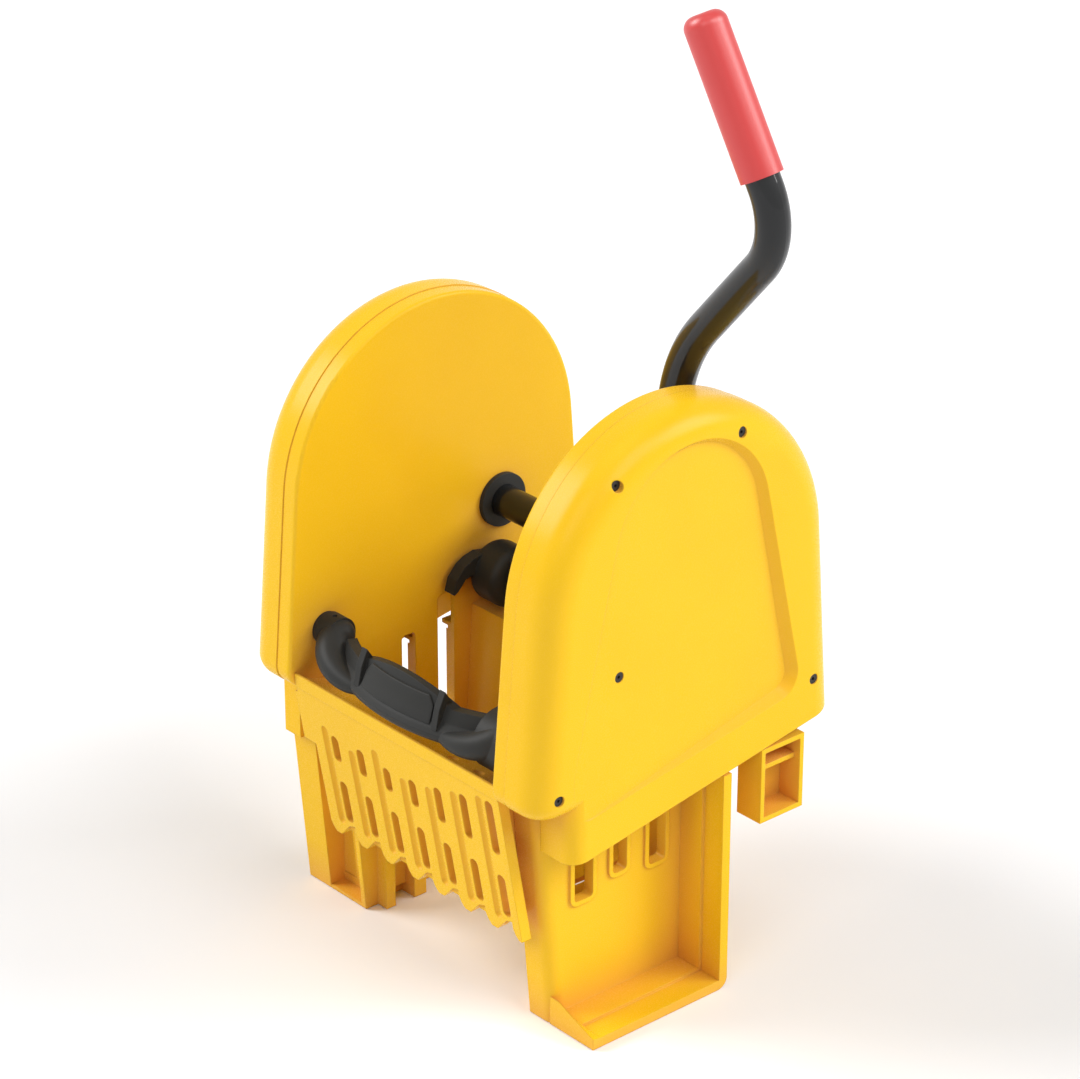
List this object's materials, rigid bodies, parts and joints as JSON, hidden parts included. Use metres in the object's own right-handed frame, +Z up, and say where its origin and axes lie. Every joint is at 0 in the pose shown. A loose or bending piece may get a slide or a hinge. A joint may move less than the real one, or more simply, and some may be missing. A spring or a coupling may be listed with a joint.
{
  "type": "mop wringer with down-press lever",
  "caption": "Hanging mop wringer: domed side cheeks on legs, slotted basket, bent lever on a cross shaft that swings a rear press and, through gears, a bowed front press",
  "frame": {"origin": "middle of the underside of the whole box, with the feet on Z = 0", "axes": "+X to the lever side, +Y to the back where the rim hooks are, +Z up"},
  "size_m": [0.3851, 0.2992, 0.769],
  "materials": {
    "yellow_plastic": "smooth moulded yellow",
    "black_plastic": "fine grained black",
    "black_tube": "glossy black coat",
    "red_grip": "soft red vinyl",
    "gear_plastic": "natural nylon",
    "dark_screw": "blackened steel",
    "steel": "zinc plated"
  },
  "bodies": {
    "frame": {"basket": "yellow_plastic", "left_side_frame": "yellow_plastic", "right_side_frame": "yellow_plastic", "left_cover": "yellow_plastic", "right_cover": "yellow_plastic", "left_cover_screws": "dark_screw", "right_cover_screws": "dark_screw", "basket_screws": "steel", "left_shaft_bush": "black_plastic", "right_shaft_bush": "black_plastic", "left_front_bush": "black_plastic", "right_front_bush": "black_plastic", "rear_idler_pin": "steel", "front_idler_pin": "steel", "idler_clips": "steel"},
    "lever": {"cross_shaft": "black_tube", "left_shaft_collar": "black_plastic", "left_collar_screw": "steel", "lever_hub": "black_plastic", "hub_bolt": "steel", "lever_tube": "black_tube", "tube_bolt": "steel", "lever_grip": "red_grip", "rear_press": "black_plastic", "rear_press_bolts": "steel", "drive_gear": "gear_plastic", "drive_gear_pin": "steel"},
    "front": {"front_press": "black_plastic", "front_press_pins": "steel", "left_front_pin": "steel", "right_front_shaft": "steel", "left_front_ring": "black_plastic", "left_ring_pin": "steel", "front_gear": "gear_plastic", "front_gear_pin": "steel"},
    "rear_idler": {"rear_idler_gear": "gear_plastic"},
    "front_idler": {"front_idler_gear": "gear_plastic"}
  },
  "joints": [
    {"name": "lever_swing", "type": "hinge", "parent": "frame", "child": "lever", "pos_m": [0, 0.06191, 0.3004], "axis": [-1, 0, 0], "range_deg": [0, 70]},
    {"name": "rear_idler_spin", "type": "hinge", "parent": "frame", "child": "rear_idler", "pos_m": [0, -0.00083, 0.28908], "axis": [-1, 0, 0], "range_deg": [-62.23, 0]},
    {"name": "front_idler_spin", "type": "hinge", "parent": "frame", "child": "front_idler", "pos_m": [0, -0.05998, 0.25654], "axis": [-1, 0, 0], "range_deg": [0, 62.23]},
    {"name": "front_press_swing", "type": "hinge", "parent": "frame", "child": "front", "pos_m": [0, -0.11269, 0.246], "axis": [-1, 0, 0], "range_deg": [-105, 0]}
  ],
  "couplings": [
    {"joint": "rear_idler_spin", "follows": "lever_swing", "ratio": -0.88889},
    {"joint": "front_idler_spin", "follows": "lever_swing", "ratio": 0.88889},
    {"joint": "front_press_swing", "follows": "lever_swing", "ratio": -1.5}
  ]
}
